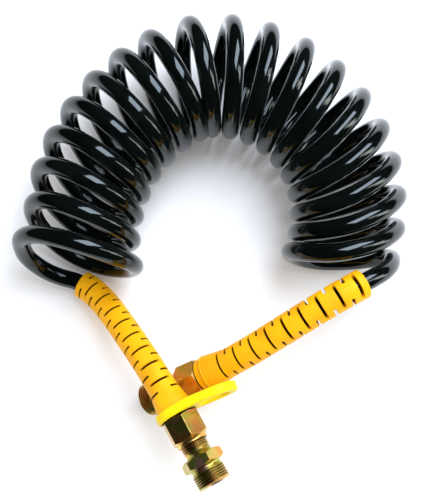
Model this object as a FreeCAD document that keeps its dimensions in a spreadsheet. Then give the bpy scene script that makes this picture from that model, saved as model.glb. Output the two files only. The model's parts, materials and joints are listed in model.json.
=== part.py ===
import FreeCAD, Part

import math
import os

import Sketcher
from FreeCAD import Placement, Rotation, Vector

# Coiled air-brake hose: a polyamide tube wound as a helix whose axis is sprung into a horseshoe,
# with a slotted anti-kink boot, a union nut, clamping parts and a screwed adaptor on each tail.
# Frame: the hose lies on its coil, +Z up, origin at the middle of the footprint on the table.
# The arch of the coil is towards +Y and the two fittings reach towards -Y.
# Each fitting has an axis of its own. Along it, distances run outward from the boot's bell end.

DIMENSIONS = {
    "tube_radius": 6.0,
    "tube_bore_radius": 4.5,
    "coil_radius": 36.0,
    "coil_base_height": 48.0,
    "tail_end": 23.2,
    "boot_bore_radius": 6.2,
    "boot_radius": 9.5,
    "boot_length": 121.0,
    "boot_deep_slot_floor": 4.2,
    "boot_shallow_slot_floor": 5.6,
    "boot_slot_clearance": 2.5,
    "boot_slot_narrow": 1.4,
    "boot_first_slot": 5.0,
    "boot_slot_pitch": 6.15,
    "bell_radius": 11.5,
    "bell_taper_length": 15.5,
    "bell_band_length": 5.5,
    "bell_socket_radius": 9.85,
    "bell_socket_depth": 7.6,
    "nut_flats": 22.0,
    "nut_face": 0.4,
    "nut_length": 16.4,
    "nut_front_collar": 2.6,
    "nut_front_radius": 10.0,
    "nut_rear_collar": 7.0,
    "nut_rear_radius": 9.5,
    "nut_rear_bore": 6.5,
    "nut_wedge_start": 2.0,
    "nut_wedge_length": 3.0,
    "nut_chamber_radius": 8.6,
    "nut_thread_radius": 9.05,
    "nut_thread_start": 12.4,
    "chamfer_slope": 0.577,
    "clamp_start": 3.0,
    "clamp_wedge": 2.4,
    "clamp_length": 5.6,
    "clamp_radius": 8.1,
    "clamp_nose_radius": 6.7,
    "clamp_split_angle": 18.0,
    "thrust_length": 2.6,
    "thrust_radius": 8.1,
    "seal_length": 2.9,
    "seal_radius": 7.85,
    "seal_bore_radius": 6.05,
    "adaptor_start": 13.0,
    "adaptor_thread_radius": 9.0,
    "adaptor_thread_end": 24.0,
    "adaptor_seal_seat_radius": 7.95,
    "adaptor_seal_seat_depth": 3.1,
    "adaptor_socket_radius": 6.3,
    "adaptor_socket_end": 24.3,
    "adaptor_neck_radius": 8.3,
    "adaptor_flats": 24.0,
    "adaptor_hex_start": 27.5,
    "adaptor_hex_length": 7.1,
    "adaptor_undercut_radius": 9.7,
    "adaptor_undercut_length": 2.3,
    "adaptor_end_radius": 11.0,
    "adaptor_end_chamfer": 0.9,
    "adaptor_length": 46.8,
    "adaptor_bore_radius": 4.5,
    "adaptor_mouth_radius": 7.0,
    "adaptor_mouth_depth": 8.0,
    "insert_radius": 4.5,
    "insert_bore_radius": 3.7,
    "insert_length": 12.0,
    "insert_flange_radius": 5.9,
    "insert_flange_length": 0.8,
    "loop_thickness": 6.0,
    "loop_half_width": 13.8,
    "loop_centre_distance": 27.2,
    "loop_bend_distance": 11.0,
    "loop_hole_start": 15.5,
    "loop_hole_half_width": 8.4,
}

# The coil's axis on the table plane: four arcs, one after the other, turning clockwise.
COIL_START = (-85.5, -13.9)
COIL_START_HEADING = 99.7
COIL_ARCS = ((116.4, 71.9), (56.1, 28.8), (88.4, 40.2), (91.1, 74.4))

# The fittings: where the bell ends, the way the axis points (degrees from +X and up from level),
# and how far the union nut and the adaptor's hexagon are turned about it.
FITTINGS = {
    "left": {"bell_end": (-21.8, -113.2, 53.5), "heading": -60.5, "climb": 9.4,
             "nut_turn": -10.0, "adaptor_turn": -20.0, "lead": 20.0, "slot_turn": 82.0,
             "slot_wide": 1.6},
    "right": {"bell_end": (-6.6, -88.0, 36.0), "heading": -157.0, "climb": -28.5,
              "nut_turn": 15.0, "adaptor_turn": 5.0, "lead": 18.0, "slot_turn": 0.0,
              "slot_wide": 2.1},
}

# The tails' routes from the coil to the last straight run, which the fitting's axis gives.
# The left tail drops to the table and climbs again; the right one leaves from the coil's top.
ROUTES = {
    "left": [(-127.2, -6.4, 34.0), (-124.0, -10.6, 24.0), (-117.0, -15.5, 15.0), (-106.5, -19.8, 9.6),
             (-93.0, -22.8, 9.4), (-78.0, -33.5, 14.8), (-60.0, -56.0, 28.0)],
    "right": [(118.1, -12.3, 42.0), (114.2, -17.8, 54.5), (106.8, -23.9, 64.8), (95.5, -30.0, 71.0),
              (79.0, -38.8, 72.0), (52.0, -55.0, 65.5)],
}

# The hang loop's turn about the bell and the outward bend of its strap, in degrees.
LOOP_ROLL = 8.0
LOOP_BEND = 8.5

ARC_SHARE = 0.45
BOOT_STATIONS = 17

doc = FreeCAD.newDocument("CoiledAirHose")
sheet = doc.addObject("Spreadsheet::Sheet", "Sizes")
for row, (alias, value) in enumerate(DIMENSIONS.items(), start=1):
    cell = "A%d" % row
    sheet.set(cell, "%g" % value)
    sheet.setAlias(cell, alias)
doc.recompute()


def size(alias):
    """The sheet's present value of one driving dimension."""
    return float(sheet.get(alias))


def cells(expression):
    """Turn an expression in aliases into one that names the sheet."""
    for alias in sorted(DIMENSIONS, key=len, reverse=True):
        expression = expression.replace(alias, "<<%s>>" % alias)
    return expression.replace("<<", "Sizes.").replace(">>", "")


def bind(obj, **expressions):
    """Bind an object's properties to expressions in the sheet's aliases."""
    for name, expression in expressions.items():
        obj.setExpression(name, cells(expression))


# ---------------------------------------------------------------- turned and milled pieces

def origin_plane(body, role):
    return next(item for item in body.Origin.OriginFeatures if item.Role == role)


def outline(body, name, points, role="XZ_Plane"):
    """A closed sketch of straight lines whose corners are pairs of expressions."""
    sketch = body.newObject("Sketcher::SketchObject", name)
    sketch.AttachmentSupport = [(origin_plane(body, role), "")]
    sketch.MapMode = "FlatFace"
    places = [tuple(float(body.evalExpression(cells(text))) for text in point) for point in points]
    corners = [Vector(x, y, 0) for x, y in places]
    for index, corner in enumerate(corners):
        following = corners[(index + 1) % len(corners)]
        sketch.addGeometry(Part.LineSegment(corner, following), False)
    for index in range(len(corners)):
        following = (index + 1) % len(corners)
        sketch.addConstraint(Sketcher.Constraint("Coincident", index, 2, following, 1))
    for index, point in enumerate(points):
        for kind, text, value in zip(("DistanceX", "DistanceY"), point, places[index]):
            number = sketch.addConstraint(Sketcher.Constraint(kind, -1, 1, index, 1, value))
            sketch.setExpression("Constraints[%d]" % number, cells(text))
    return sketch


def turned(body, kind, name, points, angle=360.0):
    """A Revolution or a Groove of an outline in radius and distance along the axis."""
    sketch = outline(body, name + "Outline", points)
    feature = body.newObject("PartDesign::" + kind, name)
    feature.Profile = sketch
    feature.ReferenceAxis = (sketch, ["V_Axis"])
    feature.Angle = angle
    doc.recompute()
    return feature


def hexagon(body, name, flats, start, length, turn=0.0):
    """A hexagonal prism along the axis, with a corner towards local +X before the turn."""
    prism = body.newObject("PartDesign::AdditivePrism", name)
    prism.AttachmentSupport = [(origin_plane(body, "XY_Plane"), "")]
    prism.MapMode = "FlatFace"
    prism.Polygon = 6
    bind(prism, Circumradius=flats + " / 2 / cos(30 deg)", Height=length)
    prism.AttachmentOffset = Placement(Vector(0, 0, size_of(body, start)), Rotation(Vector(0, 0, 1), turn))
    bind(prism, **{"AttachmentOffset.Base.z": start})
    doc.recompute()
    return prism


def size_of(body, expression):
    return float(body.evalExpression(cells(expression)))


def corner_chamfer(body, name, flats, face, way):
    """Turn the hexagon's corners off at one face; way is 1 where the metal lies outward."""
    inner = flats + " * 0.47"
    outer = flats + " * 0.62"
    depth = "(%s - %s) * chamfer_slope" % (outer, inner)
    turned(body, "Groove", name, [
        (inner, face),
        (outer, face),
        (outer, "%s + %d * %s" % (face, way, depth)),
    ])


def new_body(name):
    body = doc.addObject("PartDesign::Body", name)
    body.Label = name
    doc.recompute()
    return body


def union_nut(name):
    """Hexagon nut with a collar at each end, a wedge for the clamping ring and a threaded bore."""
    body = new_body(name)
    nut_end = "nut_length + nut_front_collar"
    hexagon(body, "Hexagon", "nut_flats", "nut_face", "nut_length - nut_face")
    corner_chamfer(body, "RearChamfer", "nut_flats", "nut_face", 1)
    corner_chamfer(body, "FrontChamfer", "nut_flats", "nut_length", -1)
    turned(body, "Revolution", "Collars", [
        ("nut_rear_bore", "-nut_rear_collar"),
        ("nut_rear_radius", "-nut_rear_collar"),
        ("nut_rear_radius", "nut_length / 2"),
        ("nut_front_radius", "nut_length / 2"),
        ("nut_front_radius", nut_end),
        ("nut_rear_bore", nut_end),
    ])
    wedge_end = "nut_wedge_start + nut_wedge_length"
    turned(body, "Groove", "Bore", [
        ("0", "-nut_rear_collar - 1"),
        ("nut_rear_bore", "-nut_rear_collar - 1"),
        ("nut_rear_bore", "nut_wedge_start"),
        ("nut_chamber_radius", wedge_end),
        ("nut_chamber_radius", "nut_thread_start"),
        ("nut_thread_radius", "nut_thread_start"),
        ("nut_thread_radius", nut_end + " + 1"),
        ("0", nut_end + " + 1"),
    ])
    return body


def clamping_ring(name):
    """Split brass ring whose tapered nose the nut wedges onto the tube."""
    body = new_body(name)
    ring = turned(body, "Revolution", "Ring", [
        ("tube_radius", "clamp_start"),
        ("clamp_nose_radius", "clamp_start"),
        ("clamp_radius", "clamp_start + clamp_wedge"),
        ("clamp_radius", "clamp_start + clamp_length"),
        ("tube_radius", "clamp_start + clamp_length"),
    ])
    ring.setExpression("Angle", "360 - Sizes.clamp_split_angle")
    return body


def thrust_ring(name):
    """Flat ring between the clamping ring and the seal."""
    body = new_body(name)
    start = "clamp_start + clamp_length"
    turned(body, "Revolution", "Ring", [
        ("tube_radius", start),
        ("thrust_radius", start),
        ("thrust_radius", start + " + thrust_length"),
        ("tube_radius", start + " + thrust_length"),
    ])
    return body


def seal_ring(name):
    """Rubber ring round the tube, seated in the adaptor."""
    body = new_body(name)
    start = "adaptor_start"
    turned(body, "Revolution", "Ring", [
        ("seal_bore_radius", start),
        ("seal_radius", start),
        ("seal_radius", start + " + seal_length"),
        ("seal_bore_radius", start + " + seal_length"),
    ])
    return body


def tube_insert(name):
    """Flanged brass sleeve that backs the tube's wall under the clamping ring."""
    body = new_body(name)
    flange_end = "tail_end + insert_flange_length"
    turned(body, "Revolution", "Sleeve", [
        ("insert_bore_radius", "tail_end - insert_length"),
        ("insert_radius", "tail_end - insert_length"),
        ("insert_radius", "tail_end"),
        ("insert_flange_radius", "tail_end"),
        ("insert_flange_radius", flange_end),
        ("insert_bore_radius", flange_end),
    ])
    return body


def adaptor(name, turn):
    """Turned end piece: threaded spigot, neck, hexagon, undercut and the outer male thread."""
    body = new_body(name)
    hex_end = "adaptor_hex_start + adaptor_hex_length"
    shoulder = hex_end + " + adaptor_undercut_length"
    turned(body, "Revolution", "Blank", [
        ("adaptor_bore_radius", "adaptor_start"),
        ("adaptor_thread_radius", "adaptor_start"),
        ("adaptor_thread_radius", "adaptor_thread_end"),
        ("adaptor_neck_radius", "adaptor_thread_end + 0.7"),
        ("adaptor_neck_radius", "adaptor_hex_start + 2"),
        ("adaptor_undercut_radius", "adaptor_hex_start + 2"),
        ("adaptor_undercut_radius", shoulder),
        ("adaptor_end_radius", shoulder + " + 0.6"),
        ("adaptor_end_radius", "adaptor_length - adaptor_end_chamfer"),
        ("adaptor_end_radius - adaptor_end_chamfer", "adaptor_length"),
        ("adaptor_bore_radius", "adaptor_length"),
    ])
    hexagon(body, "Hexagon", "adaptor_flats", "adaptor_hex_start", "adaptor_hex_length", turn)
    corner_chamfer(body, "NeckChamfer", "adaptor_flats", "adaptor_hex_start", 1)
    turned(body, "Groove", "Bore", [
        ("0", "adaptor_start - 1"),
        ("adaptor_seal_seat_radius", "adaptor_start - 1"),
        ("adaptor_seal_seat_radius", "adaptor_start + adaptor_seal_seat_depth"),
        ("adaptor_socket_radius", "adaptor_start + adaptor_seal_seat_depth"),
        ("adaptor_socket_radius", "adaptor_socket_end"),
        ("adaptor_bore_radius", "adaptor_socket_end"),
        ("adaptor_bore_radius", "adaptor_length - adaptor_mouth_depth"),
        ("adaptor_mouth_radius", "adaptor_length"),
        ("adaptor_mouth_radius", "adaptor_length + 1"),
        ("0", "adaptor_length + 1"),
    ])
    return body


def flat_plate(name, geometry):
    """A plate as thick as the loop, lying below its sketch's plane."""
    body = new_body(name)
    sketch = body.newObject("Sketcher::SketchObject", name + "Outline")
    sketch.AttachmentSupport = [(origin_plane(body, "XY_Plane"), "")]
    sketch.MapMode = "FlatFace"
    for item in geometry:
        sketch.addGeometry(item, False)
    doc.recompute()
    plate = body.newObject("PartDesign::Pad", name + "Pad")
    plate.Profile = sketch
    bind(plate, Length="loop_thickness")
    plate.Reversed = True
    doc.recompute()
    return body


def strap_outline(begin, far, half):
    """A straight-sided strap with a round far end, as sketch geometry."""
    up = Vector(0, 0, 1)
    low = Vector(begin, -half, 0)
    high = Vector(begin, half, 0)
    reach = Vector(far, 0, 0)
    side = Vector(0, half, 0)
    return [
        Part.LineSegment(low, reach - side),
        Part.ArcOfCircle(Part.Circle(reach, up, half), -math.pi / 2, math.pi / 2),
        Part.LineSegment(reach + side, high),
        Part.LineSegment(high, low),
    ]


# ---------------------------------------------------------------- the tube and what follows it

def tangent_path(points):
    """Straight runs joined by tangent arcs, each as large as its two runs allow."""
    edges = []
    start = points[0]
    for before, corner, after in zip(points, points[1:], points[2:]):
        back = before - corner
        ahead = after - corner
        reach = ARC_SHARE * min(back.Length, ahead.Length)
        half_turn = (math.pi - back.getAngle(ahead)) / 2
        radius = reach / math.tan(half_turn)
        back.normalize()
        ahead.normalize()
        entry = corner + back * reach
        leave = corner + ahead * reach
        inward = (back + ahead).normalize()
        middle = corner + inward * (radius / math.cos(half_turn) - radius)
        edges.append(Part.LineSegment(start, entry).toShape())
        edges.append(Part.Arc(entry, middle, leave).toShape())
        print("    arc radius %.1f mm, turn %.1f degrees" % (radius, math.degrees(2 * half_turn)))
        start = leave
    edges.append(Part.LineSegment(start, points[-1]).toShape())
    return edges


def stretch(edges, begin, end):
    """The part of a chain of edges between two distances along it."""
    kept = []
    passed = 0.0
    for edge in edges:
        low = max(begin - passed, 0.0)
        high = min(end - passed, edge.Length)
        if high - low > 1e-6:
            first = edge.getParameterByLength(low)
            last = edge.getParameterByLength(high)
            kept.append(edge.Curve.toShape(first, last))
        passed += edge.Length
    return kept


def path_object(name, edges):
    path = doc.addObject("Part::Feature", name)
    path.Shape = Part.Wire(edges)
    return path


def circle_across(name, edge, parameter, radius):
    """A circle square to a path at one of its points, its radius bound to the sheet."""
    circle = doc.addObject("Part::Circle", name)
    bind(circle, Radius=radius)
    turn = Rotation(Vector(0, 0, 1), edge.tangentAt(parameter))
    circle.Placement = Placement(edge.valueAt(parameter), turn)
    return circle


def swept_rod(name, path, radius, end_radius=None):
    """A round solid rod along a path, or a taper where its end has another radius."""
    first = path.Shape.OrderedEdges[0]
    last = path.Shape.OrderedEdges[-1]
    sections = [circle_across(name + "Start", first, first.FirstParameter, radius)]
    if end_radius:
        sections.append(circle_across(name + "End", last, last.LastParameter, end_radius))
    rod = doc.addObject("Part::Sweep", name)
    rod.Sections = sections
    rod.Spine = (path, ["Edge%d" % (i + 1) for i in range(len(path.Shape.Edges))])
    rod.Solid = True
    rod.Frenet = False
    return rod


def cut(name, base, tool):
    result = doc.addObject("Part::Cut", name)
    result.Label = name
    result.Base = base
    result.Tool = tool
    return result


def fuse(name, shapes):
    result = doc.addObject("Part::MultiFuse", name)
    result.Shapes = shapes
    return result


def local_frame(origin, direction, reference):
    """A placement whose Z is the direction and whose X is nearest to the reference."""
    across = reference - direction * reference.dot(direction)
    return Placement(origin, Rotation(across, Vector(), direction, "ZXY"))


def axis_of(fitting):
    heading = math.radians(fitting["heading"])
    climb = math.radians(fitting["climb"])
    level_part = math.cos(climb)
    return Vector(level_part * math.cos(heading), level_part * math.sin(heading), math.sin(climb))


def coil_path():
    """The coil's axis as four tangent arcs, lifted to the middle of the coil."""
    height = size("coil_base_height") - size("tube_radius")
    place = Vector(COIL_START[0], COIL_START[1], height)
    heading = COIL_START_HEADING
    edges = []
    for radius, sweep in COIL_ARCS:
        def right_of(angle):
            return Vector(math.sin(math.radians(angle)), -math.cos(math.radians(angle)), 0)
        centre = place + right_of(heading) * radius
        middle = centre - right_of(heading - sweep / 2) * radius
        end = centre - right_of(heading - sweep) * radius
        edges.append(Part.Arc(place, middle, end).toShape())
        place = end
        heading -= sweep
    return edges


def slot_cutters(side, edges, boot_begin, fitting):
    """Two opposite flat-bottomed slots at each station, each station a quarter turn from the last."""
    cutters = []
    for station in range(BOOT_STATIONS):
        share = station / (BOOT_STATIONS - 1)
        width = fitting["slot_wide"] + share * (size("boot_slot_narrow") - fitting["slot_wide"])
        distance = boot_begin + size("boot_first_slot") + station * size("boot_slot_pitch")
        here = stretch(edges, distance, distance + 0.5)[0]
        place = here.valueAt(here.FirstParameter)
        along = here.tangentAt(here.FirstParameter)
        frame = local_frame(place, along, Vector(0, 0, 1))
        floor = "boot_shallow_slot_floor" if station % 2 else "boot_deep_slot_floor"
        for opposite in (0, 180):
            cutter = doc.addObject("Part::Box", "%sSlot%02d_%d" % (side, station, opposite))
            bind(cutter, Length="boot_radius + boot_slot_clearance - " + floor,
                 Width="2 * (boot_radius + boot_slot_clearance)")
            cutter.Height = width
            turn = fitting["slot_turn"] + 90 * (station % 2) + opposite
            across = -size("boot_radius") - size("boot_slot_clearance")
            corner = Placement(Vector(size(floor), across, -width / 2), Rotation())
            spin = Placement(Vector(), Rotation(Vector(0, 0, 1), turn))
            cutter.Placement = frame.multiply(spin).multiply(corner)
            cutters.append(cutter)
    return cutters


coil = swept_rod("hose_coil", path_object("CoilAxis", coil_path()), "coil_radius + tube_radius")
coil.Label = "hose_coil"
nodes = [coil]
doc.recompute()

for side, fitting in FITTINGS.items():
    axis = axis_of(fitting)
    bell_end = Vector(*fitting["bell_end"])
    frame = local_frame(bell_end, axis, Vector(0, 0, 1))
    print(side, "axis", tuple(round(value, 5) for value in axis))

    # The tube's tail: the hand-chosen route, then one straight run into the fitting.
    route = [Vector(*point) for point in ROUTES[side]]
    route += [bell_end - axis * fitting["lead"], bell_end + axis * size("tail_end")]
    edges = tangent_path(route)
    length = sum(edge.Length for edge in edges)
    path = path_object(side + "TailPath", edges)
    outer = swept_rod(side + "TailOuter", path, "tube_radius")
    inner = swept_rod(side + "TailInner", path, "tube_bore_radius")
    tube = cut(side + "Tube", outer, inner)
    tail = cut(side + "_hose_tail", tube, coil)
    doc.recompute()
    section = math.pi * (size("tube_radius") ** 2 - size("tube_bore_radius") ** 2)
    print("   ", side, "tail length %.1f, volume %.0f, section x length %.0f, outside the coil %.0f"
          % (length, tube.Shape.Volume, section * length, tail.Shape.Volume))

    # The boot: slotted sleeve, end band and bell, all following the tube.
    bell_at = length - size("tail_end")
    boot_begin = bell_at - size("boot_length")
    boot_path = path_object(side + "BootPath", stretch(edges, boot_begin, bell_at))
    band_begin = bell_at - size("bell_band_length")
    taper_begin = band_begin - size("bell_taper_length")
    taper_path = path_object(side + "BellTaperPath", stretch(edges, taper_begin, band_begin))
    band_path = path_object(side + "BellBandPath", stretch(edges, band_begin, bell_at))
    sleeve = fuse(side + "BootOutside", [
        swept_rod(side + "Sleeve", boot_path, "boot_radius"),
        swept_rod(side + "BellTaper", taper_path, "boot_radius", "bell_radius"),
        swept_rod(side + "BellBand", band_path, "bell_radius"),
    ])
    socket = doc.addObject("Part::Cylinder", side + "BellSocket")
    bind(socket, Radius="bell_socket_radius", Height="bell_socket_depth + 5")
    socket.Placement = frame.multiply(Placement(Vector(0, 0, -size("bell_socket_depth")), Rotation()))
    hollow = fuse(side + "BootHollow", [
        swept_rod(side + "BootBore", path, "boot_bore_radius"),
        socket,
    ] + slot_cutters(side, edges, boot_begin, fitting))
    boot = cut(side + "_anti_kink_boot", sleeve, hollow)
    doc.recompute()

    nut = union_nut(side + "_union_nut")
    nut_turn = Placement(Vector(), Rotation(Vector(0, 0, 1), fitting["nut_turn"]))
    nut.Placement = frame.multiply(nut_turn)
    pieces = [
        clamping_ring(side + "_clamping_ring"),
        thrust_ring(side + "_thrust_ring"),
        seal_ring(side + "_seal_ring"),
        tube_insert(side + "_tube_insert"),
        adaptor(side + "_adaptor", fitting["adaptor_turn"]),
    ]
    for piece in pieces:
        piece.Placement = frame
    nodes += [tail, boot, nut] + pieces

# The hang loop: a collar round the left bell's end and a strap with a D-shaped hole, bent outward
# where the right-hand bell lies behind it.
left_axis = axis_of(FITTINGS["left"])
level = Vector(-left_axis.y, left_axis.x, 0).normalize()
loop_frame = local_frame(Vector(*FITTINGS["left"]["bell_end"]), left_axis, level)
loop_frame = loop_frame.multiply(Placement(Vector(), Rotation(Vector(0, 0, 1), LOOP_ROLL)))
bend_at = size("loop_bend_distance")
far = size("loop_centre_distance")
collar = flat_plate("LoopCollar", [Part.Circle(Vector(), Vector(0, 0, 1), size("loop_half_width"))])
collar.Placement = loop_frame
strap = flat_plate("LoopStrap", strap_outline(-bend_at, far - bend_at, size("loop_half_width"))
                   + strap_outline(size("loop_hole_start") - bend_at, far - bend_at, size("loop_hole_half_width")))
bend = Placement(Vector(bend_at, 0, 0), Rotation(Vector(0, 1, 0), -LOOP_BEND))
strap.Placement = loop_frame.multiply(bend)
bell_hole = doc.addObject("Part::Cylinder", "LoopBellHole")
bind(bell_hole, Radius="bell_radius", Height="nut_length + loop_thickness * 2")
bell_hole.Placement = loop_frame.multiply(Placement(Vector(0, 0, -2 * size("loop_thickness")), Rotation()))
loop = cut("left_hang_loop", fuse("LoopOutside", [collar, strap]), bell_hole)
nodes.append(loop)
doc.recompute()

# ---------------------------------------------------------------- checks and files

for obj in doc.Objects:
    if "Invalid" in obj.State or "Error" in obj.State:
        raise RuntimeError("failed object: %s %s" % (obj.Name, obj.State))
for node in nodes:
    if node.Shape.isNull() or not node.Shape.isValid():
        raise RuntimeError("bad shape: " + node.Label)

os.makedirs("parts", exist_ok=True)
whole = Part.makeCompound([node.Shape for node in nodes])
print("bounds", whole.BoundBox)
for node in nodes:
    node.Shape.exportStep(os.path.join("parts", node.Label + ".step"))
    print("%-24s %9.1f mm3  solids %d" % (node.Label, node.Shape.Volume, len(node.Shape.Solids)))
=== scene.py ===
import json
import math

import bmesh
import bpy
from mathutils import Matrix, Vector


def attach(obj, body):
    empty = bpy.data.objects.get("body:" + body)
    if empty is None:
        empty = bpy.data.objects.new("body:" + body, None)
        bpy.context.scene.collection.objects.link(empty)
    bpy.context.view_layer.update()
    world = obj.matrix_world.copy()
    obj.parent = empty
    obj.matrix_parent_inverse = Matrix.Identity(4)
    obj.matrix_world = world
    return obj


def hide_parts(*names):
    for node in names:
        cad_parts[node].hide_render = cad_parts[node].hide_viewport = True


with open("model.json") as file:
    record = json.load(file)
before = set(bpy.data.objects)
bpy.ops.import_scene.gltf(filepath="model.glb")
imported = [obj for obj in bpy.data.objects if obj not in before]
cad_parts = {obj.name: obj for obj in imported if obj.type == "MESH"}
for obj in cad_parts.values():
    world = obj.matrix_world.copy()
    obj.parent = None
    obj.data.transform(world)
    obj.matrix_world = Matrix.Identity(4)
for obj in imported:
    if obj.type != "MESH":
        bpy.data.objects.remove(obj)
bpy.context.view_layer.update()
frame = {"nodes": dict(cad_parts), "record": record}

# Everything is in metres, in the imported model's own frame: +Z up, the hose lying on its coil.
MM = 0.001

# ---------------------------------------------------------------- sizes and places

TUBE_RADIUS = 6.0 * MM
COIL_TURNS = 18
COIL_START = Vector((-84.9, -16.8, 0)) * MM
COIL_START_HEADING = 101.1
COIL_ARCS = ((116.4 * MM, 73.3), (56.1 * MM, 28.8), (88.4 * MM, 40.2), (91.1 * MM, 74.4))
# The coil's numbers from COIL_START to TURN_OPENING, other than its count of turns, are rounded
# results of a separate least-squares fit of coil_point to the look of the real coil.
# The relaxed turns are not all alike, so these follow the arch from its left end to its right end.
# The radius has a slope from end to end and a swell in the middle. The spacing is the terms of a
# polynomial. Lean and yaw are degrees at evenly spaced places.
TURN_RADIUS = 34.8 * MM
TURN_RADIUS_DRIFT = (0.6 * MM, 1.2 * MM)
TURN_SPACING = (0.043, -0.032, 0.058, 0.043)
TURN_LEAN = (9.1, 8.2, 2.2, 8.7, 8.5)
TURN_YAW = (-26.5, -10.4, -0.2, 11.5, 26.5)
# How far each turn is out of its own plane, twice round: start, middle and end of the arch.
TURN_WARP = ((1.6 * MM, 0.2 * MM, -3.6 * MM), (1.8 * MM, -0.2 * MM, 0.6 * MM))
# The first and the last turn open out by these shares of their radius, fading over some radians.
TURN_OPENING = (0.258, 0.134)
TURN_OPENING_FADE = 1.3
POINTS_PER_TURN = 24
SPLINE_STEPS = 5
TUBE_ROUNDNESS = 8

TAIL_END = 23.2 * MM
# Millimetres and degrees: where the bell ends, where its axis points, how far the last straight
# run reaches back, how far the hexagons and the slots are turned, and the widest slot.
FITTINGS = {
    "left": {"bell_end": (-21.8, -113.2, 53.5), "heading": -60.5, "climb": 9.4, "lead": 20.0,
             "nut_turn": -10.0, "adaptor_turn": -20.0, "slot_turn": 82.0, "slot_wide": 1.6},
    "right": {"bell_end": (-6.6, -88.0, 36.0), "heading": -157.0, "climb": -28.5, "lead": 18.0,
              "nut_turn": 15.0, "adaptor_turn": 5.0, "slot_turn": 0.0, "slot_wide": 2.1},
}
# The tails' points from the coil to the last straight run, in millimetres, as in the CAD part.
ROUTES = {
    "left": [(-127.2, -6.4, 34.0), (-124.0, -10.6, 24.0), (-117.0, -15.5, 15.0), (-106.5, -19.8, 9.6),
             (-93.0, -22.8, 9.4), (-78.0, -33.5, 14.8), (-60.0, -56.0, 28.0)],
    "right": [(118.1, -12.3, 42.0), (114.2, -17.8, 54.5), (106.8, -23.9, 64.8), (95.5, -30.0, 71.0),
              (79.0, -38.8, 72.0), (52.0, -55.0, 65.5)],
}


def in_metres(points):
    return [Vector(point) * MM for point in points]


class Fitting:
    """A fitting's own axes: origin at the bell's end, Z outward, X the steepest way up."""

    def __init__(self, facts):
        heading = math.radians(facts["heading"])
        climb = math.radians(facts["climb"])
        level = math.cos(climb)
        self.axis = Vector((level * math.cos(heading), level * math.sin(heading), math.sin(climb)))
        self.origin = Vector(facts["bell_end"]) * MM
        self.up = (Vector((0, 0, 1)) - self.axis * self.axis.z).normalized()
        self.side = self.axis.cross(self.up)
        self.facts = facts

    def matrix(self, turn=0.0):
        base = Matrix((self.up, self.side, self.axis)).transposed().to_4x4()
        base.translation = self.origin
        return base @ Matrix.Rotation(math.radians(turn), 4, "Z")

    def along(self, distance):
        return self.origin + self.axis * distance


fittings = {side: Fitting(facts) for side, facts in FITTINGS.items()}

# ---------------------------------------------------------------- camera

# The height and the tilt come from an earlier fit of the same kind, which began from a chosen 592 mm
# and 9 degrees and was held close to them. The focal length is an estimate.
CAMERA_PLACE = Vector((-1.6, -93.3, 590.8)) * MM
CAMERA_TILT = math.radians(9.083)
# The focal length as a share of the picture's height.
FOCAL_SHARE = 1.678
SENSOR_HEIGHT = 24.0

camera_data = bpy.data.cameras.new("camera")
camera_data.sensor_fit = "VERTICAL"
camera_data.sensor_height = SENSOR_HEIGHT
camera_data.lens = FOCAL_SHARE * SENSOR_HEIGHT
camera_data.clip_start = 0.01
camera = bpy.data.objects.new("camera", camera_data)
camera.location = CAMERA_PLACE
camera.rotation_euler = (CAMERA_TILT, 0, 0)
bpy.context.collection.objects.link(camera)
bpy.context.scene.camera = camera

# ---------------------------------------------------------------- the coil and the hose


def arch_axis(distance):
    """The point and heading of the coil's axis at a distance along its four arcs."""
    place = COIL_START.copy()
    heading = math.radians(COIL_START_HEADING)
    for index, (radius, sweep) in enumerate(COIL_ARCS):
        whole = math.radians(sweep)
        last = index == len(COIL_ARCS) - 1
        turned = distance / radius if last else min(distance / radius, whole)
        centre = place + Vector((math.sin(heading), -math.cos(heading), 0)) * radius
        heading -= turned
        place = centre - Vector((math.sin(heading), -math.cos(heading), 0)) * radius
        distance -= turned * radius
        if distance <= 0 or last:
            break
    return place, Vector((math.cos(heading), math.sin(heading), 0))


ARCH_LENGTH = sum(radius * math.radians(sweep) for radius, sweep in COIL_ARCS)


def through(values, share):
    """A smooth value through several that are evenly spaced along the arch."""
    count = len(values) - 1
    total = 0.0
    for index, value in enumerate(values):
        for other in range(len(values)):
            if other != index:
                value *= (share * count - other) / (index - other)
        total += value
    return total


def coil_point(phase, inset):
    """A control point of the helix. Phase 0 is outermost on the first turn, and the tube climbs."""
    share = phase / (2 * math.pi * COIL_TURNS)
    lopsided = 1 - 2 * share
    spacing = sum(term * lopsided ** power for power, term in enumerate(TURN_SPACING))
    spread = share + share * (1 - share) * spacing
    lean = math.radians(through(TURN_LEAN, share))
    yaw = math.radians(through(TURN_YAW, share))
    place, along = arch_axis(spread * ARCH_LENGTH)
    outward = Vector((-along.y, along.x, 0))
    across = outward * math.cos(yaw) - along * math.sin(yaw)
    upward = Vector((0, 0, 1)) * math.cos(lean) + along * math.sin(lean)
    swell = TURN_RADIUS_DRIFT[1] * 4 * share * (1 - share)
    radius = TURN_RADIUS + TURN_RADIUS_DRIFT[0] * lopsided + swell
    place = place + Vector((0, 0, TUBE_RADIUS + radius * math.cos(lean)))
    to_go = 2 * math.pi * COIL_TURNS - phase
    first = TURN_OPENING[0] * math.exp(-phase / TURN_OPENING_FADE)
    last = TURN_OPENING[1] * math.exp(-to_go / TURN_OPENING_FADE)
    radius *= 1 + first + last
    warp = through(TURN_WARP[0], share) * math.cos(2 * phase)
    warp += through(TURN_WARP[1], share) * math.sin(2 * phase)
    around = across * math.cos(phase) + upward * math.sin(phase)
    point = place + along * warp + around * (radius / inset)
    # The tube stays on the table or above it.
    point.z = max(point.z, TUBE_RADIUS)
    return point


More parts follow.
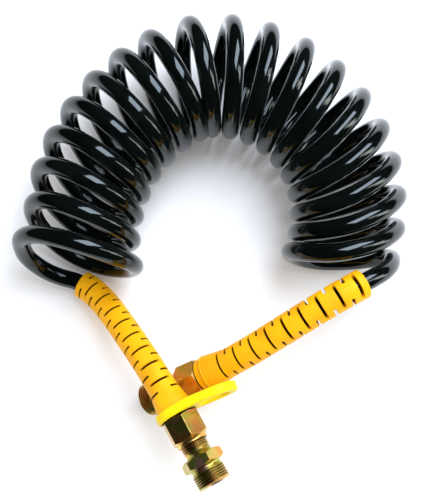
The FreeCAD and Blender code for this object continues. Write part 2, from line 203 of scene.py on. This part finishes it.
def spline_curve(name, points, bevel=0.0):
    """One open quadratic NURBS that follows the control points."""
    data = bpy.data.curves.new(name, "CURVE")
    data.dimensions = "3D"
    data.resolution_u = SPLINE_STEPS
    spline = data.splines.new("NURBS")
    spline.points.add(len(points) - 1)
    for item, point in zip(spline.points, points):
        item.co = (*point, 1.0)
    spline.order_u = 3
    spline.use_endpoint_u = True
    data.bevel_depth = bevel
    data.bevel_resolution = TUBE_ROUNDNESS
    data.use_fill_caps = True
    obj = bpy.data.objects.new(name, data)
    bpy.context.collection.objects.link(obj)
    return obj


def hose_points():
    """The whole hose from the left fitting, round the coil and into the right fitting."""
    step = 2 * math.pi / POINTS_PER_TURN
    # A quadratic spline runs inside its points by this share of a turn's radius.
    inset = (6 + 2 * math.cos(step)) / 8
    turns = [coil_point(step * count, inset) for count in range(1, COIL_TURNS * POINTS_PER_TURN)]
    ends = {}
    for side, fitting in fittings.items():
        tail = in_metres(ROUTES[side])
        ends[side] = tail + [fitting.along(-fitting.facts["lead"] * MM), fitting.along(TAIL_END)]
    return ends["left"][::-1] + turns + ends["right"]


control = hose_points()
hose = spline_curve("hose", control, TUBE_RADIUS)


def spline_line(points):
    """The line that the hose's spline follows, as the curve itself gives it."""
    bare = spline_curve("hose_line", points)
    mesh = bpy.data.meshes.new_from_object(bare)
    line = [vertex.co.copy() for vertex in mesh.vertices]
    bpy.data.meshes.remove(mesh)
    bpy.data.objects.remove(bare)
    return line


hose_line = spline_line(control)

# ---------------------------------------------------------------- meshes made of rings


def link_mesh(name, vertices, faces):
    mesh = bpy.data.meshes.new(name)
    mesh.from_pydata(vertices, [], faces)
    mesh.validate()
    mesh.update()
    obj = bpy.data.objects.new(name, mesh)
    bpy.context.collection.objects.link(obj)
    return obj


BEVEL_SEGMENTS = 2


def soften(obj, width):
    """Round the edges that carry a bevel weight and shade the rest smooth."""
    bevel = obj.modifiers.new("rounded_edges", "BEVEL")
    bevel.limit_method = "WEIGHT"
    bevel.width = width
    bevel.segments = BEVEL_SEGMENTS
    bevel.use_clamp_overlap = True
    bevel.harden_normals = True
    obj.data.shade_smooth()


def weigh_edges(obj, chosen):
    """Give a bevel weight to the edges, as vertex pairs, that are in the chosen set."""
    weights = obj.data.attributes.new("bevel_weight_edge", "FLOAT", "EDGE")
    for edge in obj.data.edges:
        if frozenset(edge.vertices) in chosen:
            weights.data[edge.index].value = 1.0


class Rings:
    """A closed profile swept round an axis, where a ring's radius and height may vary round it."""

    def __init__(self, columns=96):
        self.columns = columns
        self.rows = []

    def add(self, radius, height, rounded=False, cornered=False):
        self.rows.append((radius, height, rounded, cornered))

    def build(self, name, matrix, width):
        vertices = []
        for radius, height, rounded, cornered in self.rows:
            for column in range(self.columns):
                angle = 2 * math.pi * column / self.columns
                r = radius(angle) if callable(radius) else radius
                z = height(angle) if callable(height) else height
                vertices.append(matrix @ Vector((r * math.cos(angle), r * math.sin(angle), z)))
        faces = []
        chosen = set()
        count = len(self.rows)
        for row in range(count):
            after = (row + 1) % count
            for column in range(self.columns):
                beside = (column + 1) % self.columns
                a, b = row * self.columns + column, row * self.columns + beside
                c, d = after * self.columns + beside, after * self.columns + column
                faces.append((a, b, c, d))
                if self.rows[row][2]:
                    chosen.add(frozenset((a, b)))
                if self.rows[row][3] and self.rows[after][3] and column % (self.columns // 6) == 0:
                    chosen.add(frozenset((a, d)))
        obj = link_mesh(name, vertices, faces)
        weigh_edges(obj, chosen)
        soften(obj, width)
        return obj


def hex_radius(flats):
    """The radius of a hexagon with a corner at angle zero."""
    def radius(angle):
        return flats / 2 / math.cos((angle % (math.pi / 3)) - math.pi / 6)
    return radius


CORNER_SLOPE = math.tan(math.radians(30))


def hex_rows(rings, flats, begin, end, begin_face, end_face):
    """A hexagon whose corners are turned off by a cone that starts from each face's circle."""
    corner = hex_radius(flats)

    def begin_cone(angle):
        return begin + (corner(angle) - begin_face) * CORNER_SLOPE

    def end_cone(angle):
        return end - (corner(angle) - end_face) * CORNER_SLOPE

    rings.add(begin_face, begin, rounded=True)
    rings.add(corner, begin_cone, rounded=True, cornered=True)
    rings.add(corner, end_cone, rounded=True, cornered=True)
    rings.add(end_face, end, rounded=True)


THREAD_PITCH = 1.5 * MM
THREAD_DEPTH = 0.9 * MM
# Of half a pitch, the shares that the flat crest and the flank take.
THREAD_CREST = 0.14
THREAD_FLANK = 0.62
THREAD_STEPS = 10


def thread_rows(rings, major, begin, end, run_in, run_out):
    """Real thread ridges, cut back by a chamfer of the given length at either end."""
    count = round((end - begin) / THREAD_PITCH * THREAD_STEPS)
    for step in range(count + 1):
        height = begin + (end - begin) * step / count

        def radius(angle, height=height):
            phase = (height / THREAD_PITCH - angle / (2 * math.pi)) % 1.0
            flank = min(max((abs(2 * phase - 1) - THREAD_CREST) / THREAD_FLANK, 0.0), 1.0)
            ridge = major - THREAD_DEPTH * flank
            first = major - run_in + (height - begin)
            last = major - run_out + (end - height)
            return min(ridge, first, last)
        rings.add(radius, height)


# ---------------------------------------------------------------- the fittings

M18_RADIUS = 9.0 * MM
M22_RADIUS = 11.0 * MM
NUT_FLATS = 22.0 * MM
ADAPTOR_FLATS = 24.0 * MM
TURNED_EDGE = 0.3 * MM
NUT_EDGE = 0.28 * MM


def union_nut(side):
    """The nut, whose skirt the bell hides. Heights are distances outward from the bell's end."""
    rings = Rings()
    rings.add(6.5 * MM, -7.0 * MM, rounded=True)
    rings.add(9.5 * MM, -7.0 * MM, rounded=True)
    rings.add(9.5 * MM, 0.4 * MM)
    hex_rows(rings, NUT_FLATS, 0.4 * MM, 16.4 * MM, 10.7 * MM, 10.6 * MM)
    # The round nose at the open end.
    rings.add(10.0 * MM, 16.4 * MM)
    rings.add(10.0 * MM, 19.0 * MM, rounded=True)
    rings.add(9.1 * MM, 19.0 * MM, rounded=True)
    # Back down the inside: the thread's bore and the cone that presses on the clamping ring.
    rings.add(9.05 * MM, 12.4 * MM)
    rings.add(8.6 * MM, 12.4 * MM)
    rings.add(8.6 * MM, 5.0 * MM)
    rings.add(6.5 * MM, 2.0 * MM)
    fitting = fittings[side]
    return rings.build(side + "_nut_look", fitting.matrix(fitting.facts["nut_turn"]), NUT_EDGE)


def adaptor(side):
    """The turned end piece: nut thread, neck, hexagon, relief, end thread, then the bore inward."""
    rings = Rings()
    rings.add(7.95 * MM, 13.0 * MM)
    thread_rows(rings, M18_RADIUS, 13.0 * MM, 24.1 * MM, 0.9 * MM, 0.7 * MM)
    rings.add(8.3 * MM, 24.5 * MM)
    rings.add(8.3 * MM, 27.5 * MM)
    hex_rows(rings, ADAPTOR_FLATS, 27.5 * MM, 34.6 * MM, 11.3 * MM, 11.85 * MM)
    rings.add(9.7 * MM, 34.6 * MM)
    rings.add(9.7 * MM, 36.9 * MM)
    thread_rows(rings, M22_RADIUS, 37.3 * MM, 46.8 * MM, 0.9 * MM, 1.0 * MM)
    rings.add(9.6 * MM, 46.8 * MM)
    # The sealing cone, the bore and the socket for the tube.
    rings.add(7.0 * MM, 46.8 * MM, rounded=True)
    rings.add(4.5 * MM, 38.8 * MM)
    rings.add(4.5 * MM, 24.3 * MM)
    rings.add(6.3 * MM, 24.3 * MM)
    rings.add(6.3 * MM, 16.1 * MM)
    rings.add(7.95 * MM, 16.1 * MM)
    fitting = fittings[side]
    turned = fitting.matrix(fitting.facts["adaptor_turn"])
    return rings.build(side + "_adaptor_look", turned, TURNED_EDGE)


# ---------------------------------------------------------------- the boots

BOOT_LENGTH = 121.0 * MM
BOOT_RADIUS = 9.5 * MM
BOOT_BORE = 6.2 * MM
BOOT_STATIONS = 17
SLOT_FIRST = 5.0 * MM
SLOT_PITCH = 6.15 * MM
SLOT_NARROW = 1.4 * MM
SLOT_FLOORS = (4.2 * MM, 5.6 * MM)
BELL_TAPER = 15.5 * MM
BELL_BAND = 5.5 * MM
BELL_RADIUS = 11.5 * MM
BELL_START_RADIUS = BELL_RADIUS + 0.1 * MM
BAND_STEP = 0.35 * MM
LIP_BEGIN = 4.15 * MM
LIP_END = 5.35 * MM
LIP_HEIGHT = 0.45 * MM
LIP_ROUNDING = 0.2 * MM
# How much of the taper is an S-curve. The rest is a straight cone.
TAPER_EASE = 0.45
# Rings of the bell, in millimetres from its end, and whether the edge is rounded.
BELL_ROWS = ((1.6, False), (3.0, False), (4.1, True), (4.25, False), (4.75, False), (5.25, False),
             (5.42, True))
SOCKET_RADIUS = 9.85 * MM
SOCKET_DEPTH = 7.6 * MM
# The socket's floor is the step between two rings this far apart.
SOCKET_STEP = 0.05 * MM
BOOT_COLUMNS = 60
ROW_SPACING = 1.5 * MM
# A slot's end columns lean by this share of its width, which rounds its ends.
SLOT_END_LEAN = 0.24
SLOT_EDGE = 0.16 * MM
# A direction along the hose is taken over this length either way.
DIRECTION_REACH = 1.5 * MM


class Walk:
    """Places and directions at distances along the hose, measured from one of its ends inward."""

    def __init__(self, line):
        self.line = line
        self.marks = [0.0]
        for a, b in zip(line, line[1:]):
            self.marks.append(self.marks[-1] + (b - a).length)

    def place(self, distance):
        index = 0
        while self.marks[index + 1] < distance:
            index += 1
        part = (distance - self.marks[index]) / (self.marks[index + 1] - self.marks[index])
        return self.line[index].lerp(self.line[index + 1], part)

    def frame(self, distance):
        """Centre, the steepest way up across the hose, and the way to its side."""
        reach = DIRECTION_REACH
        way = (self.place(max(distance - reach, 0.0)) - self.place(distance + reach)).normalized()
        up = (Vector((0, 0, 1)) - way * way.z).normalized()
        return self.place(distance), up, way.cross(up)


walks = {"left": Walk(hose_line), "right": Walk(hose_line[::-1])}


def boot_radius_at(distance):
    """Outer radius at a distance inward from the bell's end: band, raised lip, taper, sleeve."""
    if distance < LIP_BEGIN:
        return BELL_RADIUS - BAND_STEP
    if distance < LIP_END:
        off_middle = abs(2 * distance - LIP_BEGIN - LIP_END) / (LIP_END - LIP_BEGIN)
        return BELL_RADIUS + LIP_HEIGHT - LIP_ROUNDING * off_middle
    share = min(max((distance - BELL_BAND) / BELL_TAPER, 0.0), 1.0)
    ease = share * share * (3 - 2 * share)
    fall = TAPER_EASE * ease + (1 - TAPER_EASE) * share
    return BELL_START_RADIUS + (BOOT_RADIUS - BELL_START_RADIUS) * fall


def slot_angles(floor, columns, turn, centre_column):
    """Outer and inner angles of a slotted ring's columns, with the slots' ends on whole columns.

    A slot is cut down to a flat floor, so it reaches further round outside than inside."""
    outer_end = math.acos(floor / BOOT_RADIUS)
    inner_end = math.acos(floor / BOOT_BORE)
    end_column = round(outer_end / (2 * math.pi) * columns)
    quarter = columns // 4
    outer = []
    inner = []
    for column in range(columns):
        offset = (column - centre_column) % (columns // 2)
        mirrored = offset if offset <= quarter else columns // 2 - offset
        if mirrored <= end_column:
            out_angle = outer_end * mirrored / end_column
            in_angle = inner_end * mirrored / end_column
        else:
            share = (mirrored - end_column) / (quarter - end_column)
            out_angle = outer_end + (math.pi / 2 - outer_end) * share
            in_angle = inner_end + (math.pi / 2 - inner_end) * share
        if offset > quarter:
            out_angle = math.pi - out_angle
            in_angle = math.pi - in_angle
        half_turns = ((column - centre_column) // (columns // 2)) * math.pi
        outer.append(turn + out_angle + half_turns)
        inner.append(turn + in_angle + half_turns)
    return outer, inner, end_column


def face_outward(obj):
    """Make every face's winding agree, seen from outside."""
    work = bmesh.new()
    work.from_mesh(obj.data)
    bmesh.ops.recalc_face_normals(work, faces=work.faces)
    work.to_mesh(obj.data)
    work.free()


def boot(side):
    """One sleeve swept along its tail, with its slots open right through the wall."""
    walk = walks[side]
    facts = FITTINGS[side]
    columns = BOOT_COLUMNS
    start_turn = math.radians(facts["slot_turn"])
    plain = [start_turn + 2 * math.pi * column / columns for column in range(columns)]

    # Rows: distance inward from the bell's end, inner radius, angles, the slot that opens here,
    # and how much each column leans towards the slot's middle to round the slot's ends.
    rows = []

    def plain_row(distance, bore, sharp=False):
        rows.append({"at": distance, "bore": bore, "outer": plain, "inner": plain, "slot": None,
                     "sharp": sharp})

    stations = []
    widest = facts["slot_wide"] * MM
    for station in range(BOOT_STATIONS):
        share = station / (BOOT_STATIONS - 1)
        width = widest + share * (SLOT_NARROW - widest)
        stations.append((BOOT_LENGTH - SLOT_FIRST - station * SLOT_PITCH, width, station))

    plain_row(0.0, SOCKET_RADIUS, sharp=True)
    for place, sharp in BELL_ROWS:
        plain_row(place * MM, SOCKET_RADIUS, sharp=sharp)
    plain_row(SOCKET_DEPTH, SOCKET_RADIUS)
    plain_row(SOCKET_DEPTH + SOCKET_STEP, BOOT_BORE)
    last = SOCKET_DEPTH + SOCKET_STEP
    for distance, width, station in reversed(stations):
        begin = distance - width / 2
        pieces = max(2, round((begin - last) / ROW_SPACING))
        for piece in range(1, pieces):
            plain_row(last + (begin - last) * piece / pieces, BOOT_BORE)
        odd = station % 2
        centre = columns // 4 if odd else 0
        turn = start_turn + (math.pi / 2 if odd else 0.0)
        outer, inner, end_column = slot_angles(SLOT_FLOORS[odd], columns, turn, centre)
        slot = {"centre": centre, "end": end_column, "width": width}
        for way in (-1, 1):
            rows.append({"at": distance + way * width / 2, "bore": BOOT_BORE, "outer": outer,
                         "inner": inner, "slot": slot, "way": way, "sharp": False})
        last = distance + width / 2
    for piece in range(1, 4):
        plain_row(last + (BOOT_LENGTH - last) * piece / 3, BOOT_BORE, sharp=piece == 3)

    vertices = []

    def slot_distance(slot, column):
        """How many columns this one is from the nearest slot's middle."""
        offset = (column - slot["centre"]) % (columns // 2)
        return min(offset, columns // 2 - offset)

    for row in rows:
        centre, up, across = walk.frame(row["at"] + TAIL_END)
        ahead = up.cross(across)
        for angles, is_outer in ((row["outer"], True), (row["inner"], False)):
            radius = boot_radius_at(row["at"]) if is_outer else row["bore"]
            for column, angle in enumerate(angles):
                lean = 0.0
                if row["slot"] and slot_distance(row["slot"], column) == row["slot"]["end"]:
                    lean = row["way"] * row["slot"]["width"] * SLOT_END_LEAN
                direction = up * math.cos(angle) + across * math.sin(angle)
                vertices.append(centre + direction * radius + ahead * lean)

    faces = []
    chosen = set()

    def vertex(row, column, inner):
        return row * 2 * columns + (columns if inner else 0) + column % columns

    def in_slot(slot, column):
        """Whether the strip between this column and the next lies in one of the slots."""
        offset = (column - slot["centre"]) % (columns // 2)
        return offset < slot["end"] or offset >= columns // 2 - slot["end"]

    for index in range(len(rows) - 1):
        row, after = rows[index], rows[index + 1]
        opened = row["slot"] if row["slot"] is after["slot"] else None
        for column in range(columns):
            if opened and in_slot(opened, column):
                for at in (index, index + 1):
                    quad = [vertex(at, column, False), vertex(at, column + 1, False),
                            vertex(at, column + 1, True), vertex(at, column, True)]
                    faces.append(quad if at == index else quad[::-1])
                    chosen.add(frozenset(quad[:2]))
                for edge_column, is_end in ((column, not in_slot(opened, column - 1)),
                                            (column + 1, not in_slot(opened, column + 1))):
                    if is_end:
                        wall = [vertex(index, edge_column, False),
                                vertex(index, edge_column, True),
                                vertex(index + 1, edge_column, True),
                                vertex(index + 1, edge_column, False)]
                        faces.append(wall if edge_column == column else wall[::-1])
                        chosen.add(frozenset((wall[0], wall[3])))
                continue
            faces.append((vertex(index, column, False), vertex(index + 1, column, False),
                          vertex(index + 1, column + 1, False), vertex(index, column + 1, False)))
            faces.append((vertex(index, column, True), vertex(index, column + 1, True),
                          vertex(index + 1, column + 1, True), vertex(index + 1, column, True)))
        if row["sharp"]:
            for column in range(columns):
                chosen.add(frozenset((vertex(index, column, False),
                                      vertex(index, column + 1, False))))
    final = len(rows) - 1
    for column in range(columns):
        chosen.add(frozenset((vertex(final, column, False), vertex(final, column + 1, False))))
        faces.append((vertex(0, column, False), vertex(0, column + 1, False),
                      vertex(0, column + 1, True), vertex(0, column, True)))
        faces.append((vertex(final, column, True), vertex(final, column + 1, True),
                      vertex(final, column + 1, False), vertex(final, column, False)))
    obj = link_mesh(side + "_boot_look", vertices, faces)
    face_outward(obj)
    weigh_edges(obj, chosen)
    soften(obj, SLOT_EDGE)
    return obj


# ---------------------------------------------------------------- the hang loop

LOOP_THICKNESS = 6.0 * MM
LOOP_HALF = 13.8 * MM
LOOP_REACH = 27.2 * MM
LOOP_BEND_AT = 11.0 * MM
LOOP_BEND = math.radians(8.5)
LOOP_ROLL = math.radians(8.0)
LOOP_HOLE_START = 15.5 * MM
LOOP_HOLE_HALF = 8.4 * MM
LOOP_HOLE_CORNER = 2.0 * MM
LOOP_ROUNDING = 1.1 * MM
LOOP_BEND_REACH = 3.0 * MM
# Points closer together than this are one point.
WELD_DISTANCE = 0.001 * MM


def arc_points(centre_x, radius, begin, end, count):
    points = []
    for step in range(count + 1):
        angle = math.radians(begin + (end - begin) * step / count)
        points.append((centre_x + radius * math.cos(angle), radius * math.sin(angle)))
    return points


def bent(point):
    """Bend one point of the flat loop, whose outer face starts level with the bell's end."""
    x, y, z = point
    z -= LOOP_THICKNESS / 2
    reach = LOOP_BEND_REACH
    share = min(max((x - LOOP_BEND_AT + reach) / (2 * reach), 0.0), 1.0)
    angle = LOOP_BEND * share
    if x <= LOOP_BEND_AT - reach:
        return Vector((x, y, z))
    # Inside the bend the middle line rises as a parabola; past it the strap is straight.
    past = x - (LOOP_BEND_AT - reach)
    if past < 2 * reach:
        rise = math.tan(LOOP_BEND) * past * past / (4 * reach)
    else:
        rise = math.tan(LOOP_BEND) * (past - reach)
    return Vector((x - math.sin(angle) * z, y, z * math.cos(angle) + rise))


def hang_loop():
    """The flat strap loop: extruded with round edges, then bent and set on the left bell."""
    data = bpy.data.curves.new("loop_outline", "CURVE")
    data.dimensions = "2D"
    data.fill_mode = "BOTH"
    start, half = LOOP_HOLE_START, LOOP_HOLE_HALF
    corner = LOOP_HOLE_CORNER
    cut = corner * 0.3
    d_hole = arc_points(LOOP_REACH, half, -90, 90, 32)
    d_hole += [(start + corner, half), (start + cut, half - cut), (start, half - corner),
               (start, corner - half), (start + cut, cut - half), (start + corner, -half)]
    outlines = [
        arc_points(LOOP_REACH, LOOP_HALF, -90, 90, 40) + arc_points(0.0, LOOP_HALF, 90, 270, 40),
        arc_points(0.0, BELL_RADIUS, 0, 355, 71),
        d_hole,
    ]
    for outline in outlines:
        spline = data.splines.new("POLY")
        spline.points.add(len(outline) - 1)
        for item, (x, y) in zip(spline.points, outline):
            item.co = (x, y, 0, 1)
        spline.use_cyclic_u = True
        spline.use_smooth = True
    data.extrude = LOOP_THICKNESS / 2 - LOOP_ROUNDING
    data.bevel_depth = LOOP_ROUNDING
    data.bevel_resolution = 4
    data.offset = -LOOP_ROUNDING
    curve = bpy.data.objects.new("loop_outline", data)
    bpy.context.collection.objects.link(curve)
    mesh = bpy.data.meshes.new_from_object(curve)
    bpy.data.objects.remove(curve)
    obj = bpy.data.objects.new("loop_look", mesh)
    bpy.context.collection.objects.link(obj)

    work = bmesh.new()
    work.from_mesh(mesh)
    bmesh.ops.remove_doubles(work, verts=work.verts, dist=WELD_DISTANCE)
    # Cuts across the strap, a millimetre apart, give the bend its curve.
    for step in range(-3, 4):
        everything = work.verts[:] + work.edges[:] + work.faces[:]
        bmesh.ops.bisect_plane(work, geom=everything, dist=WELD_DISTANCE, plane_no=(1, 0, 0),
                               plane_co=(LOOP_BEND_AT + step * MM, 0, 0))
    for vert in work.verts:
        vert.co = bent(vert.co)
    bmesh.ops.recalc_face_normals(work, faces=work.faces)
    work.to_mesh(mesh)
    work.free()

    fitting = fittings["left"]
    level = Vector((-fitting.axis.y, fitting.axis.x, 0)).normalized()
    across = fitting.axis.cross(level)
    turn = Matrix((level, across, fitting.axis)).transposed().to_4x4()
    turn.translation = fitting.origin
    mesh.transform(turn @ Matrix.Rotation(LOOP_ROLL, 4, "Z"))
    mesh.shade_smooth()
    obj.modifiers.new("flat_faces", "WEIGHTED_NORMAL")
    return obj


# ---------------------------------------------------------------- materials


def new_material(name):
    material = bpy.data.materials.new(name)
    material.use_nodes = True
    nodes = material.node_tree.nodes
    return material, nodes, material.node_tree.links, nodes["Principled BSDF"]


def noise(nodes, links, scale, detail=3.0, roughness=0.55):
    """A noise texture fixed to the object, in metres."""
    coordinates = nodes.new("ShaderNodeTexCoord")
    texture = nodes.new("ShaderNodeTexNoise")
    texture.inputs["Scale"].default_value = scale
    texture.inputs["Detail"].default_value = detail
    texture.inputs["Roughness"].default_value = roughness
    links.new(coordinates.outputs["Object"], texture.inputs["Vector"])
    return texture


def ramp(nodes, links, source, stops):
    """Colours along a value between 0 and 1."""
    item = nodes.new("ShaderNodeValToRGB")
    while len(item.color_ramp.elements) < len(stops):
        item.color_ramp.elements.new(0.5)
    for element, (position, colour) in zip(item.color_ramp.elements, stops):
        element.position = position
        element.color = (*colour, 1)
    links.new(source, item.inputs["Fac"])
    return item.outputs["Color"]


def between(nodes, links, source, low, high, begin=0.3, end=0.7):
    """A plain value that follows a texture between two limits."""
    item = nodes.new("ShaderNodeMapRange")
    item.inputs["From Min"].default_value = begin
    item.inputs["From Max"].default_value = end
    item.inputs["To Min"].default_value = low
    item.inputs["To Max"].default_value = high
    links.new(source, item.inputs["Value"])
    return item.outputs["Result"]


def bump(nodes, links, shader, source, depth, strength):
    item = nodes.new("ShaderNodeBump")
    item.inputs["Strength"].default_value = strength
    item.inputs["Distance"].default_value = depth
    links.new(source, item.inputs["Height"])
    links.new(item.outputs["Normal"], shader.inputs["Normal"])


def painted_shade_mask(nodes, links, distance, begin, end):
    """The mask for painted shade, from ambient occlusion: 0 deep in a slot or a thread's root and 1
    in the open.
    """
    hollow = nodes.new("ShaderNodeAmbientOcclusion")
    hollow.inputs["Distance"].default_value = distance
    return between(nodes, links, hollow.outputs["AO"], 0.0, 1.0, begin, end)


def paint_shade_into_base(nodes, links, shader, share, dark, unshaded_colour):
    """The base colour with painted shade: dark in the hollows, where shade falls, and the unshaded
    colour outside them.
    """
    shade = nodes.new("ShaderNodeMix")
    shade.data_type = "RGBA"
    links.new(share, shade.inputs["Factor"])
    shade.inputs["A"].default_value = dark
    links.new(unshaded_colour, shade.inputs["B"])
    links.new(shade.outputs["Result"], shader.inputs["Base Color"])


def hose_material():
    """Glossy black extruded polyamide: faint waviness, fine dust in the roughness."""
    material, nodes, links, shader = new_material("hose_black")
    large = noise(nodes, links, 60.0)
    fine = noise(nodes, links, 900.0, 6.0)
    black = ramp(nodes, links, large.outputs["Fac"],
                 [(0.3, (0.0010, 0.0018, 0.0016)), (0.7, (0.0026, 0.0040, 0.0034))])
    links.new(black, shader.inputs["Base Color"])
    links.new(between(nodes, links, fine.outputs["Fac"], 0.05, 0.12), shader.inputs["Roughness"])
    shader.inputs["IOR"].default_value = 1.5
    shader.inputs["Specular Tint"].default_value = (0.90, 1.0, 0.97, 1)
    bump(nodes, links, shader, large.outputs["Fac"], 0.2 * MM, 0.25)
    return material


def moulded_plastic(name, dark, middle, light, rough):
    """Soft moulded plastic: cloudy colour, slight grain, painted shade in the slots and hollows, and
    light that goes a little way in.
    """
    material, nodes, links, shader = new_material(name)
    cloud = noise(nodes, links, 55.0, 4.0)
    grain = noise(nodes, links, 2600.0, 4.0)
    unshaded_colour = ramp(nodes, links, cloud.outputs["Fac"], [(0.28, dark), (0.5, middle), (0.72, light)])
    # Painted shade: the base colour darkens towards a deep brown in the slots and other hollows,
    # where ambient occlusion finds them.
    share = painted_shade_mask(nodes, links, 2.2 * MM, 0.25, 0.75)
    painted_shade_colour = (dark[0] * 0.05, dark[1] * 0.03, dark[2] * 0.03, 1)
    paint_shade_into_base(nodes, links, shader, share, painted_shade_colour, unshaded_colour)
    roughness = between(nodes, links, grain.outputs["Fac"], rough - 0.07, rough + 0.1)
    links.new(roughness, shader.inputs["Roughness"])
    shader.inputs["IOR"].default_value = 1.5
    shader.inputs["Specular IOR Level"].default_value = 0.16
    shader.inputs["Subsurface Weight"].default_value = 0.06
    shader.inputs["Subsurface Radius"].default_value = (1.0, 0.5, 0.05)
    shader.inputs["Subsurface Scale"].default_value = 0.6 * MM
    bump(nodes, links, shader, grain.outputs["Fac"], 0.04 * MM, 0.3)
    return material


def chromated_metal(name, rough, stops):
    """Zinc with a yellow chromate film, whose colour drifts between gold, rose and olive, with
    painted shade in the thread roots and other hollows.
    """
    material, nodes, links, shader = new_material(name)
    drift = noise(nodes, links, 60.0, 2.0, 0.5)
    fine = noise(nodes, links, 1500.0, 5.0)
    film = ramp(nodes, links, between(nodes, links, drift.outputs["Fac"], 0.0, 1.0), stops)
    # Painted shade: the base colour darkens to a near-black brown in the thread roots and other
    # hollows, where ambient occlusion finds them.
    share = painted_shade_mask(nodes, links, 1.4 * MM, 0.45, 0.92)
    paint_shade_into_base(nodes, links, shader, share, (0.030, 0.020, 0.008, 1), film)
    roughness = between(nodes, links, fine.outputs["Fac"], rough * 0.8, rough * 1.25)
    links.new(roughness, shader.inputs["Roughness"])
    shader.inputs["Metallic"].default_value = 1.0
    bump(nodes, links, shader, fine.outputs["Fac"], 0.01 * MM, 0.15)
    return material


hose.data.materials.append(hose_material())
boot_yellow = moulded_plastic(
    "boot_yellow", (0.76, 0.31, 0.0005), (0.84, 0.39, 0.0005), (0.90, 0.46, 0.0008), 0.5)
loop_yellow = moulded_plastic(
    "loop_yellow", (0.84, 0.52, 0.0005), (0.88, 0.62, 0.0004), (0.90, 0.70, 0.0006), 0.45)
zinc = chromated_metal("yellow_zinc", 0.33, [
    (0.05, (0.84, 0.60, 0.18)), (0.25, (0.76, 0.33, 0.08)), (0.5, (0.70, 0.46, 0.12)),
    (0.72, (0.42, 0.44, 0.07)), (0.95, (0.80, 0.42, 0.30))])
brass = chromated_metal("brass", 0.3, [
    (0.2, (0.70, 0.47, 0.17)), (0.5, (0.78, 0.56, 0.24)), (0.8, (0.62, 0.38, 0.13))])
rubber = moulded_plastic(
    "seal_rubber", (0.010, 0.010, 0.010), (0.014, 0.014, 0.014), (0.02, 0.02, 0.02), 0.6)

SLOT_MATERIALS = {"boot_yellow": boot_yellow, "loop_yellow": loop_yellow, "yellow_zinc": zinc,
                  "brass": brass, "seal_rubber": rubber}
for subpart in frame["record"]["subparts"]:
    obj = frame["nodes"][subpart["node"]]
    if subpart["material_slot"] in SLOT_MATERIALS:
        obj.data.materials.clear()
        obj.data.materials.append(SLOT_MATERIALS[subpart["material_slot"]])

loop = hang_loop()
loop.data.materials.append(loop_yellow)
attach(loop, "root")
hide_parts("left_hang_loop")
for side in FITTINGS:
    sleeve = boot(side)
    sleeve.data.materials.append(boot_yellow)
    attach(sleeve, "root")
    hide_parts(side + "_anti_kink_boot")
    nut = union_nut(side)
    nut.data.materials.append(zinc)
    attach(nut, side + "_nut")
    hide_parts(side + "_union_nut")
    end = adaptor(side)
    end.data.materials.append(zinc)
    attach(end, side + "_end")
    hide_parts(side + "_adaptor")

# ---------------------------------------------------------------- floor and light

FLOOR_HALF = 3.0
FLOOR_DROP = 0.2 * MM
floor_mesh = bpy.data.meshes.new("floor")
floor_corners = [(-FLOOR_HALF, -FLOOR_HALF, 0), (FLOOR_HALF, -FLOOR_HALF, 0),
                 (FLOOR_HALF, FLOOR_HALF, 0), (-FLOOR_HALF, FLOOR_HALF, 0)]
floor_mesh.from_pydata(floor_corners, [], [(0, 1, 2, 3)])
floor = bpy.data.objects.new("floor", floor_mesh)
floor.location.z = -FLOOR_DROP
bpy.context.collection.objects.link(floor)
floor_paint, floor_nodes, floor_links, floor_shader = new_material("floor_white")
floor_tone = noise(floor_nodes, floor_links, 6.0)
floor_colour = ramp(floor_nodes, floor_links, floor_tone.outputs["Fac"],
                    [(0.3, (0.90, 0.90, 0.90)), (0.7, (0.93, 0.93, 0.93))])
floor_links.new(floor_colour, floor_shader.inputs["Base Color"])
floor_shader.inputs["Roughness"].default_value = 0.85
floor_shader.inputs["Specular IOR Level"].default_value = 0.15
floor_mesh.materials.append(floor_paint)

# The room is bright for matt surfaces and dim in reflections, as a dark room with a window is.
ROOM_FILL = 0.92
ROOM_REFLECTED = 0.008
world = bpy.data.worlds.new("studio")
world.use_nodes = True
world_nodes = world.node_tree.nodes
world_links = world.node_tree.links
path = world_nodes.new("ShaderNodeLightPath")
dimmer = world_nodes.new("ShaderNodeMapRange")
dimmer.inputs["To Min"].default_value = ROOM_FILL
dimmer.inputs["To Max"].default_value = ROOM_REFLECTED
world_links.new(path.outputs["Is Glossy Ray"], dimmer.inputs["Value"])
world_links.new(dimmer.outputs["Result"], world_nodes["Background"].inputs["Strength"])
world_nodes["Background"].inputs["Color"].default_value = (1.0, 1.0, 1.0, 1)
bpy.context.scene.world = world
bpy.context.scene.view_settings.view_transform = "Standard"


def window_pane(name, place, width, height, power, colour):
    """A rectangular light that faces the middle of the part's footprint."""
    data = bpy.data.lights.new(name, "AREA")
    data.shape = "RECTANGLE"
    data.size = width
    data.size_y = height
    data.energy = power
    data.color = colour
    light = bpy.data.objects.new(name, data)
    light.location = place
    light.rotation_euler = (-Vector(place)).to_track_quat("-Z", "Y").to_euler()
    bpy.context.collection.objects.link(light)


# One window high on the right, behind the arch: a bluish pane, and two greyer ones that are lower
# and further right.
window_pane("window_sky", (0.34, 0.44, 0.86), 0.48, 0.95, 13.5, (0.76, 0.84, 1.0))
window_pane("window_wall", (0.84, 0.08, 0.58), 0.19, 0.66, 2.0, (0.95, 0.97, 0.95))
window_pane("window_edge", (0.98, -0.04, 0.32), 0.17, 0.56, 1.6, (0.96, 0.96, 0.92))

# ---------------------------------------------------------------- what rides on what

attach(hose, "root")
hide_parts("hose_coil", "left_hose_tail", "right_hose_tail")
fittings["left"].along(TAIL_END)
